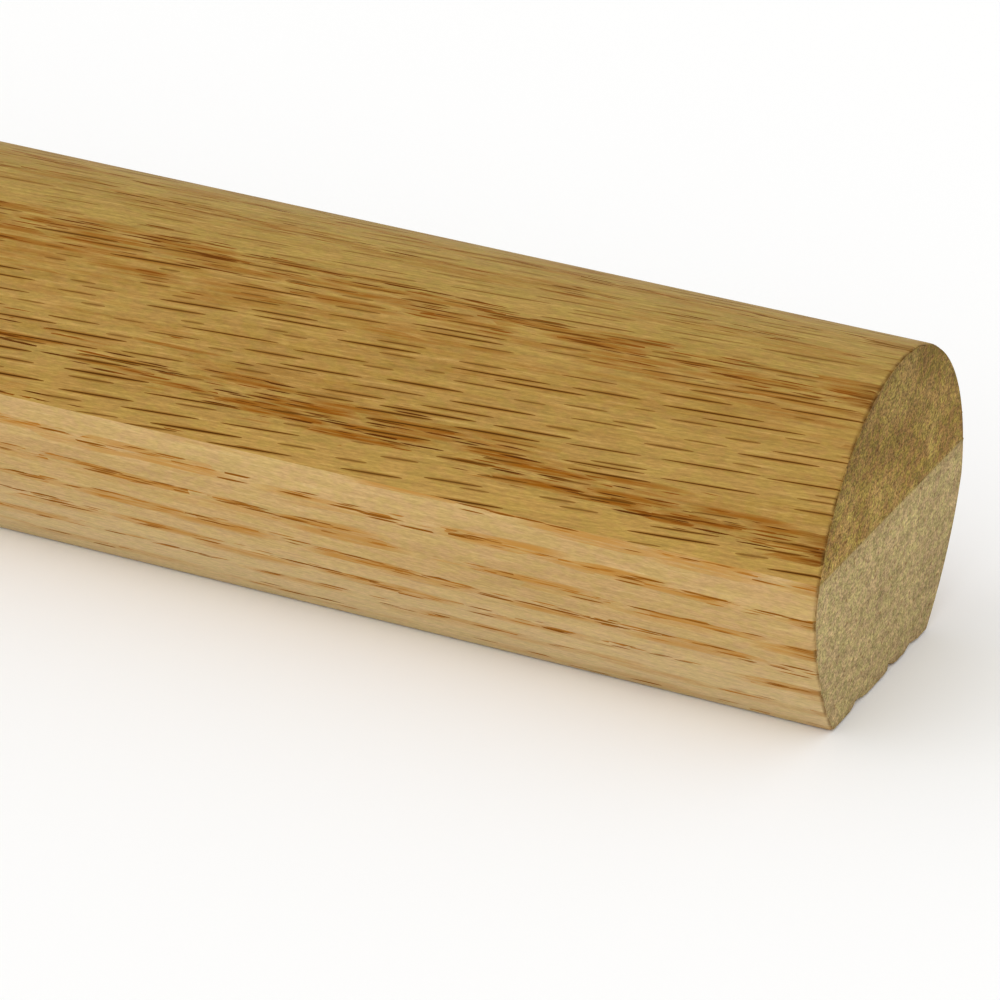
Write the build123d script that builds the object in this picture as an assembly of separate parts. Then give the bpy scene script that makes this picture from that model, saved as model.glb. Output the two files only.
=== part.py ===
from build123d import *
import os

# Stair sub rail: loaf-shaped oak rail stock, glued up from two laminations and moulded to shape.
# The rail lies on its flat underside. X runs along it, Y across it and Z up, with the origin at the
# middle of the underside. Sizes are in millimetres.

# Overall sizes
rail_length = 2438.4  # an 8 ft stick, both ends sawn square
rail_width = 42.9  # across the shoulders, where the rail is widest
rail_height = 38.1  # from the underside to the top of the crown

# Moulded section
underside_width = 27.4  # the flat underside, before its edges are eased
shoulder_height = 15.9  # of the widest line, above the underside
side_radius = 33.0  # of the bowed lower sides, from the underside up to the shoulders
edge_easing = 0.8  # rounding of the two edges of the underside

# Lamination
glue_line_height = 20.2  # of the glue line, above the underside


def rail_section():
    """The whole loaf outline: flat underside, bowed lower sides and an elliptical crown."""
    half_width = rail_width / 2
    half_underside = underside_width / 2
    crown_rise = rail_height - shoulder_height
    underside = Line((-half_underside, 0), (half_underside, 0))
    right_side = RadiusArc((half_underside, 0), (half_width, shoulder_height), -side_radius)
    left_side = mirror(right_side, Plane.YZ)
    crown = EllipticalCenterArc((0, shoulder_height), half_width, crown_rise, arc_size=180)
    outline = make_face(underside + right_side + crown + left_side)
    underside_corners = outline.vertices().group_by(Axis.Y)[0]
    return fillet(underside_corners, edge_easing)


rail = extrude(Plane.YZ.offset(-rail_length / 2) * rail_section(), rail_length)
glue_line = Plane.XY.offset(glue_line_height)
laminations = {
    "lower_lamination": split(rail, glue_line, keep=Keep.BOTTOM),
    "upper_lamination": split(rail, glue_line, keep=Keep.TOP),
}

os.makedirs("parts", exist_ok=True)
for name, board in laminations.items():
    export_step(board, f"parts/{name}.step")
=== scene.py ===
import math

import bmesh
import bpy
from mathutils import Matrix, Vector


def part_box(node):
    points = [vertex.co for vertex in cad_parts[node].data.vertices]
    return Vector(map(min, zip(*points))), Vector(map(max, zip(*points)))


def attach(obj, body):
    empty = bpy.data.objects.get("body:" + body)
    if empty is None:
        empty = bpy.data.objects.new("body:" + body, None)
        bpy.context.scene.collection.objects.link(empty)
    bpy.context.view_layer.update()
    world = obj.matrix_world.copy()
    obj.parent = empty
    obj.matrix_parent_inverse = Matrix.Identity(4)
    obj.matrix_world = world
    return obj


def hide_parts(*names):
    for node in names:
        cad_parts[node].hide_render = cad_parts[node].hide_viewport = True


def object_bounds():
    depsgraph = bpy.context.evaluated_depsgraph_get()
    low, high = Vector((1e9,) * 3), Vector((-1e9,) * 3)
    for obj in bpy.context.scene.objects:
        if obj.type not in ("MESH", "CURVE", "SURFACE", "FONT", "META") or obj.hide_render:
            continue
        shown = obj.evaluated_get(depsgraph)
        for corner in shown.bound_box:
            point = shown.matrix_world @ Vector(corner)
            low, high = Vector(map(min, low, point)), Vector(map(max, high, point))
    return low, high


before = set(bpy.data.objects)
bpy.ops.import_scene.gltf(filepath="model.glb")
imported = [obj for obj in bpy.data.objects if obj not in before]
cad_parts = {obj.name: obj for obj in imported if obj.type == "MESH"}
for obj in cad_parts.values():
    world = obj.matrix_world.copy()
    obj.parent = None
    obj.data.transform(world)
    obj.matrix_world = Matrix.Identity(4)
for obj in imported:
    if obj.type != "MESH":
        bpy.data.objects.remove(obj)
cadLow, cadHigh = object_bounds()
print("frame loaded:", sorted(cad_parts))

mm = 0.001
close = 1e-6  # places nearer than this are the same

# The rail lies along X on its flat underside. All sizes come from the frame or are in metres.
rail = {
    "end": cadHigh.x,  # the sawn end that the camera sees
    "halfWidth": cadHigh.y,
    "height": 38.1 * mm,
    "glueLine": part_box("upper_lamination")[0].z,
    "shoulder": 15.9 * mm,  # height of the widest line
    "underside": 27.4 * mm,  # width of the flat underside
    "sideRadius": 33.0 * mm,  # of the bowed lower sides
    "easing": 0.8 * mm,  # rounding of the underside's edges
}


# Camera

viewpoint = {
    "azimuth": 23.81,
    "elevation": 25.33,
    "roll": 2.51,
    "distance": 619.9 * mm,  # from the middle of the sawn end's bottom edge
    "aim": (-40.95 * mm, 19.34 * mm),  # of the picture's centre from that point, in the picture's plane
    "lens": 207.4,
}


def makeCamera():
    a, e, r = (math.radians(viewpoint[k]) for k in ("azimuth", "elevation", "roll"))
    back = Vector((math.sin(a) * math.cos(e), -math.cos(a) * math.cos(e), math.sin(e)))
    level = Vector((math.cos(a), math.sin(a), 0))
    upright = back.cross(level)
    right = level * math.cos(r) + upright * math.sin(r)
    up = upright * math.cos(r) - level * math.sin(r)
    across, above = viewpoint["aim"]
    place = Vector((rail["end"], 0, 0)) + right * across + up * above + back * viewpoint["distance"]
    bpy.ops.object.camera_add()
    camera = bpy.context.object
    camera.name = "productCamera"
    camera.data.lens = viewpoint["lens"]
    camera.data.clip_start = 0.01
    turn = Matrix((right, up, back)).transposed().to_4x4()
    camera.matrix_world = Matrix.Translation(place) @ turn
    bpy.context.scene.camera = camera


makeCamera()
print("camera placed")


# Helpers for edit mode

def selectWhere(piece, test):
    mesh = bmesh.from_edit_mesh(piece.data)
    for vert in mesh.verts:
        vert.select = test(vert.co)
    mesh.select_flush_mode()
    bmesh.update_edit_mesh(piece.data)


def cutAcross(place, normal):
    bpy.ops.mesh.select_all(action="SELECT")
    bpy.ops.mesh.bisect(plane_co=place, plane_no=normal)


# Boards

lowerBoard = {
    "node": "lower_lamination",
    "slot": "oak_lower",
    "rowStep": 0.3 * mm,  # between the rows of faces up the sides
    "columnStep": 1.0 * mm,  # between the strips of the end faces
    "endCuts": (0.12, 0.3, 0.7, 1.5, 4.0, 10.0, 25.0, 60.0, 150.0),  # loops near each end, in mm from it
    "spanCuts": 14,  # loops along the rest
    "rimWidth": 0.18 * mm,  # border round the end faces
    "chipSize": 0.9 * mm,
    "chipDepth": 0.42 * mm,
    "rimShade": 3.0 * mm,  # how far in the end faces darken towards the rim
    "mapMiddle": 12.0 * mm,  # height that the bake map's angles turn round
    "nicks": (  # y and z on the sawn end, how far the wood is pushed back, and how far round
        (3.4 * mm, 0.0, (-0.0003, 0.0, 0.0005), 1.3 * mm),
        (-6.5 * mm, 0.0, (-0.0002, 0.0, 0.0003), 1.6 * mm),
        (9.0 * mm, 0.0, (-0.0002, 0.0, 0.00025), 2.0 * mm),
    ),
}
upperBoard = {
    "node": "upper_lamination",
    "slot": "oak_upper",
    "rowStep": 0.3 * mm,
    "columnStep": 1.0 * mm,
    "endCuts": (0.12, 0.3, 0.7, 1.5, 4.0, 10.0, 25.0, 60.0, 150.0),
    "spanCuts": 14,
    "rimWidth": 0.18 * mm,
    "chipSize": 0.9 * mm,
    "chipDepth": 0.42 * mm,
    "rimShade": 3.0 * mm,
    "mapMiddle": rail["shoulder"],
    "nicks": (),
}


def sideHalfWidth(z):
    # below the shoulder, an arc from the underside's edge; above it, the elliptical crown
    shoulder, half = rail["shoulder"], rail["halfWidth"]
    if z >= shoulder:
        rise = (z - shoulder) / (rail["height"] - shoulder)
        return half * math.sqrt(max(0.0, 1 - rise * rise))
    foot = Vector((rail["underside"] / 2, 0))
    chord = Vector((half, shoulder)) - foot
    inward = Vector((-chord.y, chord.x)).normalized()
    depth = math.sqrt(rail["sideRadius"] ** 2 - (chord.length / 2) ** 2)
    centre = foot + chord / 2 + inward * depth
    return centre.x + math.sqrt(rail["sideRadius"] ** 2 - (z - centre.y) ** 2)


def rowHeights(bottom, top, step):
    # evenly spaced along the outline, so the crown's rows close up towards its top
    fine = [bottom + (top - bottom) * math.sin(math.pi / 2 * i / 4000) for i in range(4001)]
    heights, run, last = [bottom], 0.0, Vector((sideHalfWidth(bottom), bottom))
    for z in fine[1:]:
        point = Vector((sideHalfWidth(z), z))
        run += (point - last).length
        last = point
        if run >= step and top - z > step * 0.02:
            heights.append(z)
            run = 0.0
    return heights + [top]


def mouldBoard(board, bottom, top):
    length, width = 2 * rail["end"], 2 * rail["halfWidth"]
    bpy.ops.object.select_all(action="DESELECT")
    bpy.ops.mesh.primitive_cube_add(size=1, location=(0, 0, (bottom + top) / 2))
    piece = bpy.context.object
    piece.name = board["node"] + "_oak"
    piece.scale = (length, width, top - bottom)
    bpy.ops.object.transform_apply(location=True, rotation=True, scale=True)
    bpy.ops.object.mode_set(mode="EDIT")
    bpy.context.tool_settings.mesh_select_mode = (True, False, False)
    heights = rowHeights(bottom, top, board["rowStep"])
    for z in heights[1:-1]:
        cutAcross((0, 0, z), (0, 0, 1))
    for z in heights:  # each row is drawn in to the moulding's width
        selectWhere(piece, lambda co: abs(co.z - z) < close)
        share = max(sideHalfWidth(z) / rail["halfWidth"], 1e-5)
        bpy.ops.transform.resize(value=(1, share, 1), center_override=(0, 0, 0))
    bpy.ops.mesh.select_all(action="SELECT")
    bpy.ops.mesh.remove_doubles(threshold=2 * close)
    return piece


def easeUnderside(piece):
    bpy.context.tool_settings.mesh_select_mode = (False, True, False)
    mesh = bmesh.from_edit_mesh(piece.data)
    for edge in mesh.edges:
        middle = (edge.verts[0].co + edge.verts[1].co) / 2
        edge.select = middle.z < close and abs(middle.y) > close and abs(middle.x) < close
    bmesh.update_edit_mesh(piece.data)
    bpy.ops.mesh.bevel(offset=rail["easing"] * 0.3, segments=4)  # the corners are blunt
    bpy.context.tool_settings.mesh_select_mode = (True, False, False)


def insetEnds(piece, board):
    # a narrow border round each end face, for the torn and darkened rim
    bpy.context.tool_settings.mesh_select_mode = (False, False, True)
    mesh = bmesh.from_edit_mesh(piece.data)
    for face in mesh.faces:
        face.select = abs(face.calc_center_median().x) > rail["end"] - close
    bmesh.update_edit_mesh(piece.data)
    bpy.ops.mesh.inset(thickness=board["rimWidth"], use_boundary=True, use_even_offset=True)
    bpy.context.tool_settings.mesh_select_mode = (True, False, False)


def divideBoard(piece, board):
    end, half = rail["end"], rail["halfWidth"]
    for distance in board["endCuts"]:
        for side in (-1, 1):
            cutAcross((side * (end - distance * mm), 0, 0), (1, 0, 0))
    inner = end - board["endCuts"][-1] * mm
    for i in range(1, board["spanCuts"]):
        cutAcross((inner * (2 * i / board["spanCuts"] - 1), 0, 0), (1, 0, 0))
    columns = int(half / board["columnStep"])
    for i in range(-columns, columns + 1):
        cutAcross((0, i * board["columnStep"], 0), (0, 1, 0))


bakeMap = {  # left, right, bottom and top of each part of the map
    "nearSides": (0.004, 0.996, 0.004, 0.395),  # the last stretch towards the camera
    "otherSides": (0.004, 0.996, 0.405, 0.775),
    "nearEnd": (0.004, 0.424, 0.785, 0.985),
    "farEnd": (0.434, 0.854, 0.785, 0.985),
    "glueFace": (0.864, 0.996, 0.785, 0.985),
}


def layBakeMap(piece, board, bottom, top):
    end, half = rail["end"], rail["halfWidth"]
    near = end - board["endCuts"][-1] * mm
    middle = board["mapMiddle"]
    edge = math.atan2(rail["glueLine"] - middle, sideHalfWidth(rail["glueLine"]))
    first, last = (edge, math.pi - edge) if bottom > 0 else (edge, -math.pi - edge)
    bpy.ops.object.mode_set(mode="OBJECT")
    layer = piece.data.uv_layers.new(name="OFBake")
    for face in piece.data.polygons:
        middleX = face.center.x
        if abs(face.normal.x) > 0.7:
            part = "nearEnd" if middleX > 0 else "farEnd"
        elif abs(face.center.z - rail["glueLine"]) < close:
            part = "glueFace"
        else:
            part = "nearSides" if middleX > near else "otherSides"
        left, right, low, high = bakeMap[part]
        for loop in face.loop_indices:
            x, y, z = piece.data.vertices[piece.data.loops[loop].vertex_index].co
            if part in ("nearEnd", "farEnd"):
                across, up = 0.5 + y / half / 2, (z - bottom) / (top - bottom)
            elif part == "glueFace":
                across, up = 0.5 + x / end / 2, 0.5 + y / half / 2
            else:
                angle = math.atan2(z - middle, y)
                if last < 0 and angle > math.pi / 2:
                    angle -= 2 * math.pi
                up = (angle - first) / (last - first)
                across = (x - near) / (end - near) if part == "nearSides" else (x + end) / (near + end)
            layer.data[loop].uv = (left + (right - left) * across, low + (high - low) * up)
    bpy.ops.object.mode_set(mode="EDIT")


def rimDistance(co):
    # roughly how far inside the moulding's outline a point of the end face lies
    shoulder, rise = rail["shoulder"], rail["height"] - rail["shoulder"]
    if co.z > shoulder:
        return (1 - math.hypot(co.y / rail["halfWidth"], (co.z - shoulder) / rise)) * rise
    return min(co.z, sideHalfWidth(co.z) - abs(co.y))


def chipRims(piece, board):
    # finds the sawn rim, then lets a clouds texture chip it back a little
    bpy.ops.mesh.select_all(action="SELECT")
    bpy.ops.mesh.normals_make_consistent(inside=False)
    for y, z, push, reach in board["nicks"]:
        spot = Vector((rail["end"], y, z))
        selectWhere(piece, lambda co: co.x > spot.x - close and (co - spot).yz.length < 0.6 * mm)
        bpy.ops.transform.translate(value=push, use_proportional_edit=True, proportional_size=reach)
    mesh = bmesh.from_edit_mesh(piece.data)
    rim, loops = set(), {}
    for vert in mesh.verts:
        ends = [abs(face.normal.x) > 0.7 for face in vert.link_faces]
        if abs(vert.co.z - rail["glueLine"]) < close:
            continue
        if any(ends) and not all(ends):
            rim.add(vert.index)
        back = rail["end"] - abs(vert.co.x)
        if not any(ends) and back < 0.4 * mm:
            loops[vert.index] = 0.5 if back < 0.2 * mm else 0.15
    bpy.ops.object.mode_set(mode="OBJECT")
    group = piece.vertex_groups.new(name="sawnRim")
    group.add(list(rim), 1.0, "REPLACE")
    for index, weight in loops.items():
        group.add([index], weight, "REPLACE")
    nearRim = piece.data.attributes.new("nearRim", "FLOAT", "POINT")
    for vert in piece.data.vertices:
        inside = max(0.0, 0.55 - rimDistance(vert.co) / board["rimShade"])
        nearRim.data[vert.index].value = 1.0 if vert.index in rim else inside
    clouds = bpy.data.textures.new(board["node"] + " chips", "CLOUDS")
    clouds.noise_scale = board["chipSize"]
    clouds.noise_depth = 2
    clouds.contrast = 1.6
    chips = piece.modifiers.new("chips", "DISPLACE")
    chips.texture = clouds
    chips.texture_coords = "LOCAL"
    chips.vertex_group = "sawnRim"
    chips.mid_level = 0.0
    chips.strength = -board["chipDepth"]
    bpy.ops.object.modifier_apply(modifier="chips")


def finishBoard(piece, board):
    bpy.ops.object.shade_smooth_by_angle(angle=math.radians(30))
    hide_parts(board["node"])
    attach(piece, "root")


lowerPiece = mouldBoard(lowerBoard, 0.0, rail["glueLine"])
easeUnderside(lowerPiece)
insetEnds(lowerPiece, lowerBoard)
divideBoard(lowerPiece, lowerBoard)
layBakeMap(lowerPiece, lowerBoard, 0.0, rail["glueLine"])
chipRims(lowerPiece, lowerBoard)
finishBoard(lowerPiece, lowerBoard)
upperPiece = mouldBoard(upperBoard, rail["glueLine"], rail["height"])
insetEnds(upperPiece, upperBoard)
divideBoard(upperPiece, upperBoard)
layBakeMap(upperPiece, upperBoard, rail["glueLine"], rail["height"])
chipRims(upperPiece, upperBoard)
finishBoard(upperPiece, upperBoard)
print("boards moulded:", len(lowerPiece.data.polygons), len(upperPiece.data.polygons), "faces")


# Materials: small helpers that add a node and hand back its output

def addNode(tree, kind, values=None, **settings):
    node = tree.nodes.new(kind)
    for key, value in settings.items():
        setattr(node, key, value)
    for key, value in (values or {}).items():
        if isinstance(value, bpy.types.NodeSocket):
            tree.links.new(value, node.inputs[key])
        else:
            node.inputs[key].default_value = value
    return node


def calc(tree, operation, *values):
    node = addNode(tree, "ShaderNodeMath", dict(enumerate(values)), operation=operation)
    return node.outputs[0]


def scaled(tree, vector, size):
    # a vector in millimetres, divided by the pattern's size along each axis
    share = tuple(1 / s for s in size)
    node = addNode(tree, "ShaderNodeVectorMath", {0: vector, 1: share}, operation="MULTIPLY")
    return node.outputs[0]


def noise(tree, vector, size, detail=2.0, roughness=0.5):
    values = {"Vector": scaled(tree, vector, size), "Scale": 1.0, "Detail": detail, "Roughness": roughness}
    return addNode(tree, "ShaderNodeTexNoise", values).outputs[0]


def ramp(tree, value, low, high, outLow=0.0, outHigh=1.0):
    values = {"Value": value, 1: low, 2: high, 3: outLow, 4: outHigh}
    return addNode(tree, "ShaderNodeMapRange", values, interpolation_type="SMOOTHSTEP").outputs[0]


def blend(tree, share, first, second, how="MIX"):
    values = {0: share, 6: first, 7: second}
    return addNode(tree, "ShaderNodeMix", values, data_type="RGBA", blend_type=how).outputs[2]


def srgb(red, green, blue):
    # a colour as given on screen, 0 to 255, as the shader's linear light
    def linear(c):
        c /= 255
        return c / 12.92 if c <= 0.04045 else ((c + 0.055) / 1.055) ** 2.4
    return (linear(red), linear(green), linear(blue), 1.0)


def grainCells(tree, vector, size):
    # long cells along the grain, staggered by row, each with its own middle in mm and its own chances
    byRow, byLayer = 0.382, 0.274  # shares of a cell's length
    parts = addNode(tree, "ShaderNodeSeparateXYZ", {0: scaled(tree, vector, size)}).outputs
    shifted = calc(tree, "MULTIPLY_ADD", parts[1], byRow, parts[0])
    shifted = calc(tree, "MULTIPLY_ADD", parts[2], byLayer, shifted)
    staggered = addNode(tree, "ShaderNodeCombineXYZ", {0: shifted, 1: parts[1], 2: parts[2]}).outputs[0]
    values = {"Vector": staggered, "Scale": 1.0, "Randomness": 0.8}
    cells = addNode(tree, "ShaderNodeTexVoronoi", values, voronoi_dimensions="3D", feature="F1")
    at = addNode(tree, "ShaderNodeSeparateXYZ", {0: cells.outputs["Position"]}).outputs
    x = calc(tree, "MULTIPLY_ADD", at[1], -byRow, at[0])
    x = calc(tree, "MULTIPLY_ADD", at[2], -byLayer, x)
    middle = [calc(tree, "MULTIPLY", value, share) for value, share in zip((x, at[1], at[2]), size)]
    chance = addNode(tree, "ShaderNodeSeparateColor", {0: cells.outputs["Color"]}).outputs
    return {"middle": middle, "chance": chance, "reach": cells.outputs["Distance"]}


def lens(tree, cells, thin, thick, soft=0.75):
    # a lens-shaped stroke in each cell, by its own chance thin or thick
    radius = calc(tree, "MAXIMUM", ramp(tree, cells["chance"][0], 0.0, 1.0, thin, thick), 0.002)
    return ramp(tree, cells["reach"], radius, calc(tree, "MULTIPLY", radius, soft))


def rayStrokes(tree, along, ray):
    # rows of thin strokes, one to a cell, each with its own place, length and strength
    length, height, empty, (shortest, longest), (thinnest, thickest) = ray
    parts = addNode(tree, "ShaderNodeSeparateXYZ", {0: scaled(tree, along, (length, height, 1.0))}).outputs
    row = calc(tree, "FLOOR", parts[1])
    rowChance = addNode(tree, "ShaderNodeTexWhiteNoise", {"W": row}, noise_dimensions="1D").outputs["Value"]
    run = calc(tree, "ADD", parts[0], rowChance)
    place = addNode(tree, "ShaderNodeCombineXYZ", {0: calc(tree, "FLOOR", run), 1: row}).outputs[0]
    cell = addNode(tree, "ShaderNodeTexWhiteNoise", {"Vector": place}, noise_dimensions="2D")
    chance = addNode(tree, "ShaderNodeSeparateColor", {0: cell.outputs["Color"]}).outputs
    half = calc(tree, "POWER", chance[0], 1.3)  # most are short
    half = calc(tree, "MULTIPLY_ADD", half, (longest - shortest) / 2, shortest / 2)
    aside = calc(tree, "SUBTRACT", calc(tree, "FRACT", run), 0.5)
    taper = calc(tree, "POWER", calc(tree, "DIVIDE", aside, half), 2.0)
    taper = calc(tree, "SQRT", calc(tree, "MAXIMUM", calc(tree, "SUBTRACT", 1.0, taper), 0.0))
    thick = calc(tree, "MULTIPLY_ADD", chance[1], (thickest - thinnest) / height / 2, thinnest / height / 2)
    radius = calc(tree, "MAXIMUM", calc(tree, "MULTIPLY", thick, taper), 0.002)
    offset = calc(tree, "MULTIPLY_ADD", chance[2], 0.7, -0.35)
    across = calc(tree, "SUBTRACT", calc(tree, "SUBTRACT", calc(tree, "FRACT", parts[1]), 0.5), offset)
    stroke = ramp(tree, calc(tree, "ABSOLUTE", across), radius, calc(tree, "MULTIPLY", radius, 0.4))
    strength = ramp(tree, cell.outputs["Value"], empty, 1.0, 0.5, 1.0)
    shown = calc(tree, "GREATER_THAN", cell.outputs["Value"], empty)
    strength = calc(tree, "MULTIPLY", strength, shown)
    halo = ramp(tree, calc(tree, "ABSOLUTE", across), calc(tree, "MULTIPLY", radius, 2.4), radius)
    return calc(tree, "MULTIPLY", stroke, strength), calc(tree, "MULTIPLY", halo, strength)


def shadeBy(tree, tone, share):
    # lightens or darkens a colour by a plain factor
    grey = addNode(tree, "ShaderNodeCombineColor", {0: share, 1: share, 2: share}).outputs[0]
    return blend(tree, 1.0, tone, grey, "MULTIPLY")


def grainSpace(tree, grain):
    # millimetres from the sawn end, turned so that the growth rings lie flat: x along, t round, w outwards
    place = addNode(tree, "ShaderNodeTexCoord").outputs["Object"]
    values = {
        "Vector": place,
        "Location": (-rail["end"] / mm, 0, 0),
        "Rotation": (math.radians(grain["lean"]), 0, 0),
        "Scale": (1 / mm,) * 3,
    }
    turned = addNode(tree, "ShaderNodeMapping", values).outputs[0]
    x, t, w = addNode(tree, "ShaderNodeSeparateXYZ", {0: turned}).outputs
    sway = calc(tree, "SUBTRACT", noise(tree, turned, (55, 12, 12)), 0.5)
    fibre = calc(tree, "MULTIPLY_ADD", swing(tree, grain, x), -grain["fibreSlope"], t)
    fibre = calc(tree, "MULTIPLY_ADD", sway, grain["sway"], fibre)
    along = addNode(tree, "ShaderNodeCombineXYZ", {0: x, 1: fibre, 2: w}).outputs[0]
    rough = calc(tree, "SUBTRACT", noise(tree, turned, (60, 9, 9)), 0.5)
    rough = calc(tree, "MULTIPLY", rough, grain["waviness"])
    fromMiddle = calc(tree, "ABSOLUTE", calc(tree, "ADD", x, rail["end"] / mm))
    toEnd = calc(tree, "SUBTRACT", rail["end"] / mm, fromMiddle)
    return {
        "place": place, "turned": turned, "along": along, "at": (x, fibre, w),
        "t": t, "rough": rough, "toEnd": toEnd,
    }


def swing(tree, grain, x):
    # follows x near the sawn end, then swings back
    wave = calc(tree, "SINE", calc(tree, "DIVIDE", x, grain["wander"]))
    return calc(tree, "MULTIPLY", wave, grain["wander"])


def ringPhase(tree, grain, at, stray):
    # how far through its growth ring a place is, from 0 where the ring starts to 1
    x, fibre, w = at
    drift = swing(tree, grain, x)
    t = calc(tree, "MULTIPLY_ADD", drift, grain["fibreSlope"], fibre)
    aside = calc(tree, "SUBTRACT", t, grain["middle"])
    lift = calc(tree, "MULTIPLY", drift, calc(tree, "MULTIPLY_ADD", aside, grain["twist"], grain["slope"]))
    bow = calc(tree, "MULTIPLY", calc(tree, "MULTIPLY", aside, aside), 0.5 / grain["pith"])
    level = calc(tree, "ADD", calc(tree, "ADD", calc(tree, "SUBTRACT", w, lift), bow), stray)
    past = calc(tree, "SUBTRACT", level, grain["firstRing"])
    closing = calc(tree, "MULTIPLY_ADD", past, grain["closing"], 1 / grain["ringWidth"])
    return calc(tree, "FRACT", calc(tree, "MULTIPLY", past, closing))


def cellPhase(tree, grain, space, cells, ragged):
    # one phase for a whole cell, with a stray of its own, so that the ring's edges step from fibre to fibre
    stray = calc(tree, "MULTIPLY_ADD", cells["chance"][2], ragged, -0.5 * ragged)
    return ringPhase(tree, grain, cells["middle"], calc(tree, "ADD", stray, space["rough"]))


upperGrain = {
    "lean": -46.0,  # degrees: turns the growth rings flat
    "middle": 12.4,  # mm round the board, opposite the pith
    "pith": 120.0,  # mm to the pith
    "slope": -0.00515,  # of the rings along the rail, near the sawn end
    "twist": 0.00068,  # how that slope changes round the board
    "wander": 150.0,  # mm over which the slopes swing back
    "waviness": 1.0,
    "ragged": (0.3, 0.4),  # mm that patches and vessels stray from their ring
    "firstRing": 30.93,
    "ringWidth": 2.75,
    "closing": 0.0,
    "fibreSlope": 0.056,
    "sway": 0.7,
    "earlyHaze": (0.48, 0.78),  # share of a ring that is orange, on the side and over the crown
    "earlyStreaks": (0.4, 0.56),  # and the open vessels in them
    "thinning": 0.75,  # share of the vessels left over the crown
    "fibres": (0.8, 1.2),  # how dark and how light the fibres go
    "patches": (13.0, 0.7, 0.7),  # mm along, round and outwards
    "strands": (6.0, 0.18, 0.18),
    "vessels": (4.0, 0.19, 0.19),
    "clumps": (0.75, 1.25),  # least and most reach of a patch, in cells
    # rays: mm along and round, share empty, lengths, mm thick
    "rays": (12.0, 0.9, 0.12, (0.14, 0.97), (0.14, 0.27)),
    "rayEdge": (12.0, 16.0),  # mm outwards, over which the rays come in behind the crown
    "crown": ((15.0, 27.0), (31.0, 37.0), 0.55),  # t where bands and rays pale over the crown, and how much
    "foot": (25.0 * mm, 21.0 * mm),
    "fade": (21.3 * mm, 22.8 * mm, 0.3),  # heights where the bands come in, and their least
}
upperTones = {
    "late": srgb(164, 131, 67),
    "lateOther": srgb(151, 115, 51),
    "mottle": srgb(169, 133, 71),
    "pale": srgb(186, 155, 94),
    "foot": srgb(173, 138, 71),
    "crown": srgb(160, 135, 70),
    "green": srgb(164, 136, 64),
    "pink": srgb(169, 127, 70),
    "haze": srgb(140, 83, 6),
    "early": srgb(128, 72, 4),
    "dark": srgb(76, 36, 0),
    "ray": srgb(78, 42, 0),
    "halo": srgb(140, 92, 22),
    # dark line at the sawn end: torn fibres, with painted shade of the arris
    "tornEdgeShade": srgb(96, 66, 26),
}
lowerGrain = {
    "lean": 180.0,  # this board's bark side is down
    "middle": 0.0,
    "pith": 400.0,
    "slope": 0.0205,
    "twist": 0.0,
    "wander": 170.0,
    "waviness": 0.5,
    "ragged": (0.3, 0.5),
    "firstRing": -15.7,
    "ringWidth": 3.75,
    "closing": 0.004,
    "fibreSlope": 0.0,
    "sway": 0.6,
    "earlyHaze": (0.46, 0.46),
    "earlyStreaks": (0.35, 0.35),
    "thinning": 1.0,
    "fibres": (0.89, 1.11),
    "patches": (15.0, 1.8, 0.85),
    "strands": (6.0, 0.6, 0.17),
    "vessels": (3.4, 0.5, 0.19),
    "clumps": (0.95, 1.5),
    "crown": ((40.0, 41.0), (42.0, 43.0), 0.0),
    # the band where painted bounce light pales the lower side
    "foot": (13.0 * mm, 1.0 * mm),
    "fade": (0.0, 10.0 * mm, 0.4),
}
lowerTones = {
    "late": srgb(192, 161, 103),
    "lateOther": srgb(182, 150, 94),
    "mottle": srgb(192, 156, 106),
    "pale": srgb(202, 176, 124),
    # painted bounce light along the bottom of the lower side
    "foot": srgb(204, 182, 137),
    "crown": srgb(191, 160, 102),
    "green": srgb(188, 162, 100),
    "pink": srgb(194, 156, 112),
    "haze": srgb(182, 132, 62),
    "early": srgb(168, 110, 36),
    "dark": srgb(126, 74, 12),
    # dark line at the sawn end: torn fibres, with painted shade of the arris
    "tornEdgeShade": srgb(120, 92, 50),
}


crownShift = (8.0, 16.0)  # t over which the bands change from those of the side to those of the crown


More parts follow.
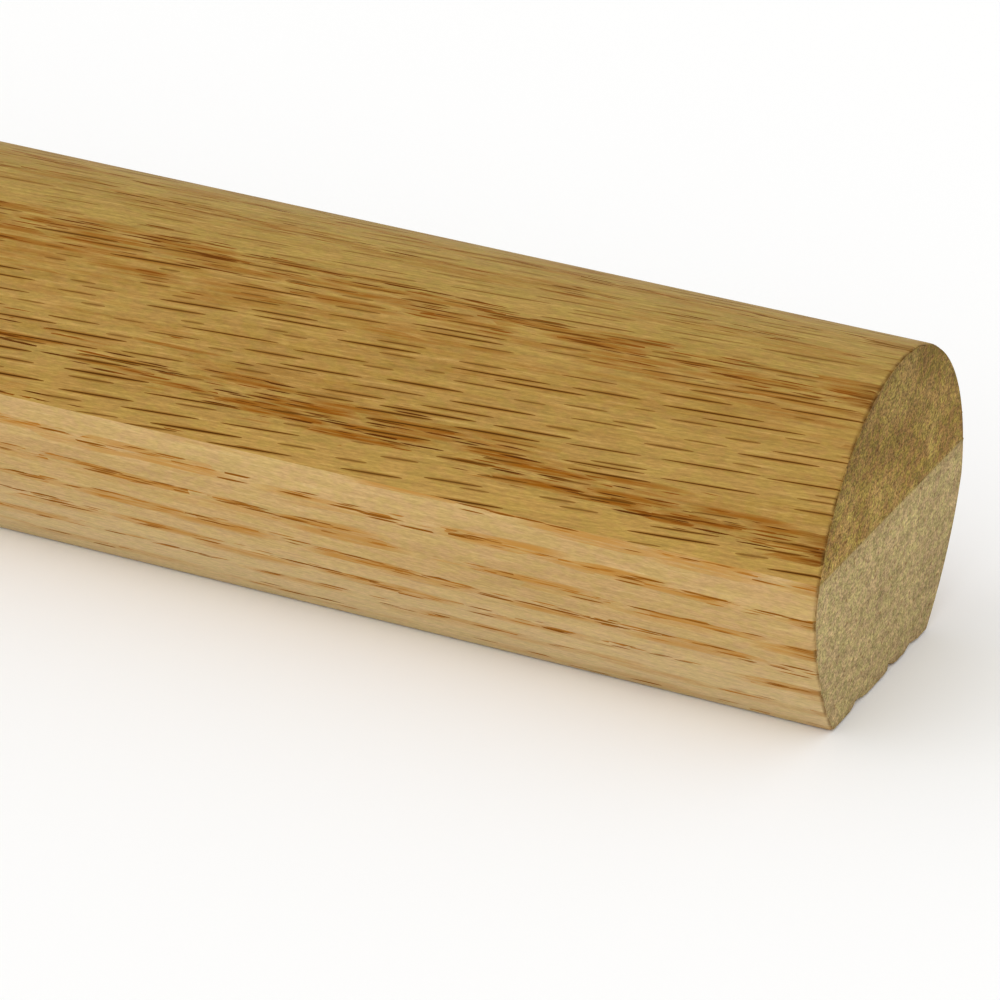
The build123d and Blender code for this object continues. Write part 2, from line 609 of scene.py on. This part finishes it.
def oakSide(name, grain, tones):
    material = bpy.data.materials.new(name)
    material.use_nodes = True
    tree = material.node_tree
    shader = tree.nodes["Principled BSDF"]
    space = grainSpace(tree, grain)
    along = space["along"]
    # late wood: slow patches, a faint mottle and fine fibres
    slow = noise(tree, along, (40, 1.8, 1.8), 3.0)
    tone = blend(tree, ramp(tree, slow, 0.35, 0.65), tones["late"], tones["lateOther"])
    mottle = ramp(tree, noise(tree, space["turned"], (2.2, 0.8, 0.8), 2.0), 0.35, 0.7, 0.0, 0.6)
    tone = blend(tree, mottle, tone, tones["mottle"])
    height = addNode(tree, "ShaderNodeSeparateXYZ", {0: space["place"]}).outputs[2]
    # paler towards each board's lower edge; on the lower board this is painted light, standing in for bounce
    # from the floor onto the side that curves under
    tone = blend(tree, ramp(tree, height, *grain["foot"]), tone, tones["foot"])
    (paleFrom, paleTo), (backFrom, backTo), paling = grain["crown"]
    rising = ramp(tree, space["t"], paleFrom, paleTo)
    top = calc(tree, "MULTIPLY", rising, ramp(tree, space["t"], backTo, backFrom))
    tone = blend(tree, calc(tree, "MULTIPLY", top, 0.8), tone, tones["crown"])
    tinge = ramp(tree, noise(tree, space["turned"], (2.0, 1.1, 1.1), 2.0), 0.42, 0.58)
    tone = blend(tree, 0.3, tone, blend(tree, tinge, tones["green"], tones["pink"]))
    fibres = noise(tree, along, (8, 0.3, 0.3), 5.0, 0.75)
    tone = shadeBy(tree, tone, ramp(tree, fibres, 0.25, 0.75, *grain["fibres"]))
    tone = blend(tree, ramp(tree, fibres, 0.54, 0.72, 0.0, 0.6), tone, tones["pale"])
    grit = noise(tree, along, (0.9, 0.16, 0.16), 2.0, 0.6)
    tone = shadeBy(tree, tone, ramp(tree, grit, 0.25, 0.75, 0.88, 1.12))
    # early wood: orange patches with open vessels in them, thickest where the ring starts
    shown = calc(tree, "MULTIPLY_ADD", top, -paling, 1.0)
    bands = calc(tree, "MULTIPLY", shown, ramp(tree, height, *grain["fade"], 1.0))
    patches = grainCells(tree, along, grain["patches"])
    patchRagged, vesselRagged = grain["ragged"]
    phase = cellPhase(tree, grain, space, patches, patchRagged)
    hazeEnd = ramp(tree, space["t"], *crownShift, *grain["earlyHaze"])
    hazy = calc(tree, "MULTIPLY", ramp(tree, phase, hazeEnd, 0.2), bands)
    clump = lens(tree, patches, *grain["clumps"], 0.2)
    aside = calc(tree, "ABSOLUTE", calc(tree, "SUBTRACT", space["at"][0], patches["middle"][0]))
    length = grain["patches"][0]  # patches fade towards their ends
    clump = calc(tree, "MULTIPLY", clump, ramp(tree, aside, length * 0.6, length * 0.25))
    haze = calc(tree, "MULTIPLY", hazy, clump)
    strands = noise(tree, along, grain["strands"], 2.0, 0.6)
    haze = calc(tree, "MULTIPLY", haze, ramp(tree, strands, 0.34, 0.53, 0.4, 1.0))
    tone = blend(tree, haze, tone, tones["haze"])
    vessels = grainCells(tree, along, grain["vessels"])
    phase = cellPhase(tree, grain, space, vessels, vesselRagged)
    streakEnd = ramp(tree, space["t"], *crownShift, *grain["earlyStreaks"])
    crowd = calc(tree, "MULTIPLY", ramp(tree, phase, streakEnd, 0.06, 0.0, 0.95), bands)
    crowd = calc(tree, "MULTIPLY", crowd, calc(tree, "MULTIPLY_ADD", clump, 0.6, 0.4))
    crowd = calc(tree, "MULTIPLY", crowd, ramp(tree, space["t"], *crownShift, 1.0, grain["thinning"]))
    opened = calc(tree, "LESS_THAN", vessels["chance"][1], crowd)
    stroke = calc(tree, "MULTIPLY", lens(tree, vessels, 0.4, 0.85, 0.55), opened)
    tone = blend(tree, stroke, tone, tones["early"])
    rank = calc(tree, "DIVIDE", vessels["chance"][1], calc(tree, "MAXIMUM", crowd, 0.01))
    dark = calc(tree, "MULTIPLY", stroke, ramp(tree, rank, 0.75, 0.3))
    depth = ramp(tree, space["t"], *crownShift, 0.9, 0.9 * grain["thinning"])
    tone = blend(tree, calc(tree, "MULTIPLY", dark, depth), tone, tones["dark"])
    if "rays" in grain:  # rays cut across, as thin dark strokes
        front = calc(tree, "MULTIPLY", shown, ramp(tree, space["at"][2], *grain["rayEdge"]))
        strokes = rayStrokes(tree, along, grain["rays"])
        ray, halo = (calc(tree, "MULTIPLY", value, front) for value in strokes)
        tone = blend(tree, calc(tree, "MULTIPLY", halo, 0.7), tone, tones["halo"])
        tone = blend(tree, ray, tone, tones["ray"])
        dark = calc(tree, "MAXIMUM", dark, ray)
    scorch = calc(tree, "MULTIPLY", ramp(tree, space["toEnd"], 4.0, 0.4), haze)
    tone = blend(tree, calc(tree, "MULTIPLY", scorch, 0.5), tone, tones["dark"])
    # a thin dark line round the end: torn saw fuzz, with painted shade of the arris
    tornShadeNoise = ramp(tree, noise(tree, space["turned"], (1.0, 1.6, 1.6), 3.0), 0.3, 0.7, 0.1, 1.0)
    tornEdgeShade = calc(tree, "MULTIPLY", ramp(tree, space["toEnd"], 0.46, 0.08), calc(tree, "MAXIMUM", tornShadeNoise, hazy))
    tone = blend(tree, calc(tree, "MULTIPLY", tornEdgeShade, 0.85), tone, tones["tornEdgeShade"])
    tree.links.new(tone, shader.inputs["Base Color"])
    relief = calc(tree, "MULTIPLY_ADD", dark, -1.0, calc(tree, "MULTIPLY", fibres, 0.3))
    bump = addNode(tree, "ShaderNodeBump", {"Strength": 0.3, "Distance": 0.0001, "Height": relief})
    tree.links.new(bump.outputs[0], shader.inputs["Normal"])
    tree.links.new(ramp(tree, dark, 0.0, 1.0, 0.55, 0.8), shader.inputs["Roughness"])
    shader.inputs["Specular IOR Level"].default_value = 0.06
    return material


upperEndTones = {
    "outwards": (1.12, 0.85),  # shading at the glue line and far from it
    "clots": (0.72, 1.28),  # how dark and how light the coarse and the fine mottle go
    "speckle": (0.42, 1.58),
    "late": srgb(168, 142, 78),
    "lateOther": srgb(126, 98, 42),
    "early": srgb(132, 102, 54),
    "green": srgb(148, 130, 60),
    "pink": srgb(156, 116, 72),
    "dark": srgb(92, 54, 16),
    "seam": srgb(150, 130, 76),
    # rim of the sawn end: torn fibres, with painted shade of the arris
    "rim": srgb(88, 62, 26),
}
lowerEndTones = {
    "outwards": (1.05, 0.93),
    "clots": (0.74, 1.26),
    "speckle": (0.56, 1.44),
    "late": srgb(182, 162, 112),
    "lateOther": srgb(162, 142, 98),
    "early": srgb(158, 136, 90),
    "green": srgb(170, 156, 98),
    "pink": srgb(182, 150, 112),
    "dark": srgb(122, 84, 48),
    "seam": srgb(156, 136, 84),
    # rim of the sawn end: torn fibres, with painted shade of the arris
    "rim": srgb(122, 96, 54),
}


def oakEnd(name, grain, tones):
    material = bpy.data.materials.new(name)
    material.use_nodes = True
    tree = material.node_tree
    shader = tree.nodes["Principled BSDF"]
    space = grainSpace(tree, grain)
    phase = ringPhase(tree, grain, space["at"], space["rough"])
    values = {0: space["place"], "Scale": 1 / mm}
    face = addNode(tree, "ShaderNodeVectorMath", values, operation="SCALE").outputs[0]
    broad = ramp(tree, noise(tree, face, (9, 8, 6), 2.0), 0.35, 0.65)
    tone = blend(tree, broad, tones["late"], tones["lateOther"])
    tinge = ramp(tree, noise(tree, face, (0.9, 1.0, 0.75), 3.0), 0.43, 0.57)
    tone = blend(tree, 0.45, tone, blend(tree, tinge, tones["green"], tones["pink"]))
    early = calc(tree, "MULTIPLY", ramp(tree, phase, 0.4, 0.05), ramp(tree, phase, 0.0, 0.04))
    tone = blend(tree, calc(tree, "MULTIPLY", early, 0.4), tone, tones["early"])
    clots = noise(tree, face, (1.1, 1.2, 0.9), 3.0, 0.65)
    # the saw blurs the glue line
    z = addNode(tree, "ShaderNodeSeparateXYZ", {0: face}).outputs[2]
    offGlue = calc(tree, "ABSOLUTE", calc(tree, "SUBTRACT", z, rail["glueLine"] / mm))
    tone = shadeBy(tree, tone, ramp(tree, offGlue, 0.0, 18.0, *tones["outwards"]))
    seam = calc(tree, "MULTIPLY_ADD", clots, -1.4, offGlue)
    tone = blend(tree, ramp(tree, seam, -0.2, -0.9, 0.0, 0.8), tone, tones["seam"])
    # sawn fibres: a coarse and a fine speckle, with open pores between
    tone = shadeBy(tree, tone, ramp(tree, clots, 0.25, 0.75, *tones["clots"]))
    speckle = noise(tree, face, (0.34, 0.4, 0.3), 2.0, 0.75)
    tone = shadeBy(tree, tone, ramp(tree, speckle, 0.25, 0.75, *tones["speckle"]))
    pore = lens(tree, grainCells(tree, face, (1.6, 0.95, 0.72)), 0.05, 0.42, 0.3)
    pore = calc(tree, "MULTIPLY", pore, ramp(tree, early, 0.0, 1.0, 0.7, 1.0))
    tone = blend(tree, calc(tree, "MULTIPLY", pore, 0.7), tone, tones["dark"])
    # darker rim round the sawn end: torn fibres, with painted shade of the arris
    rim = addNode(tree, "ShaderNodeAttribute", attribute_name="nearRim").outputs["Fac"]
    torn = ramp(tree, noise(tree, face, (1.0, 1.3, 1.3), 3.0), 0.3, 0.7, 0.2, 1.0)
    tone = blend(tree, calc(tree, "MULTIPLY", calc(tree, "MULTIPLY", rim, torn), 0.8), tone, tones["rim"])
    tree.links.new(tone, shader.inputs["Base Color"])
    height = calc(tree, "MULTIPLY_ADD", pore, -1.0, speckle)
    bump = addNode(tree, "ShaderNodeBump", {"Strength": 0.5, "Distance": 0.00015, "Height": height})
    tree.links.new(bump.outputs[0], shader.inputs["Normal"])
    shader.inputs["Roughness"].default_value = 0.85
    shader.inputs["Specular IOR Level"].default_value = 0.1
    return material


def dress(piece, sideMaterial, endMaterial):
    piece.data.materials.append(sideMaterial)
    piece.data.materials.append(endMaterial)
    for face in piece.data.polygons:
        face.material_index = 1 if abs(face.normal.x) > 0.7 else 0


dress(lowerPiece, oakSide("pale oak, planed", lowerGrain, lowerTones),
      oakEnd("pale oak, sawn end", lowerGrain, lowerEndTones))
dress(upperPiece, oakSide("tan oak, planed", upperGrain, upperTones),
      oakEnd("tan oak, sawn end", upperGrain, upperEndTones))
print("materials on")


# Floor and light

studio = {
    "floorSize": 40.0,
    "floorColour": (0.93, 0.93, 0.925, 1.0),
    "ambient": 0.86,
    "keyStrength": 0.9,
    "keyTurn": (38.0, -12.0, 0.0),
    "keySpread": 70.0,
}


def makeStudio():
    bpy.ops.object.select_all(action="DESELECT")
    bpy.ops.mesh.primitive_plane_add(size=studio["floorSize"], location=(0, 0, -0.0001))
    floor = bpy.context.object
    floor.name = "studioFloor"
    paper = bpy.data.materials.new("white paper floor")
    paper.use_nodes = True
    shader = paper.node_tree.nodes["Principled BSDF"]
    shader.inputs["Base Color"].default_value = studio["floorColour"]
    shader.inputs["Roughness"].default_value = 0.9
    shader.inputs["Specular IOR Level"].default_value = 0.1
    floor.data.materials.append(paper)
    world = bpy.data.worlds.new("soft white studio")
    world.use_nodes = True
    sky = world.node_tree.nodes["Background"]
    sky.inputs["Color"].default_value = (1.0, 1.0, 1.0, 1.0)
    sky.inputs["Strength"].default_value = studio["ambient"]
    bpy.context.scene.world = world
    bpy.ops.object.light_add(type="SUN", location=(0, -1, 2))
    key = bpy.context.object
    key.name = "softKey"
    key.rotation_euler = [math.radians(v) for v in studio["keyTurn"]]
    key.data.energy = studio["keyStrength"]
    key.data.angle = math.radians(studio["keySpread"])
    bpy.context.scene.view_settings.view_transform = "Standard"


makeStudio()
print("floor and light set")
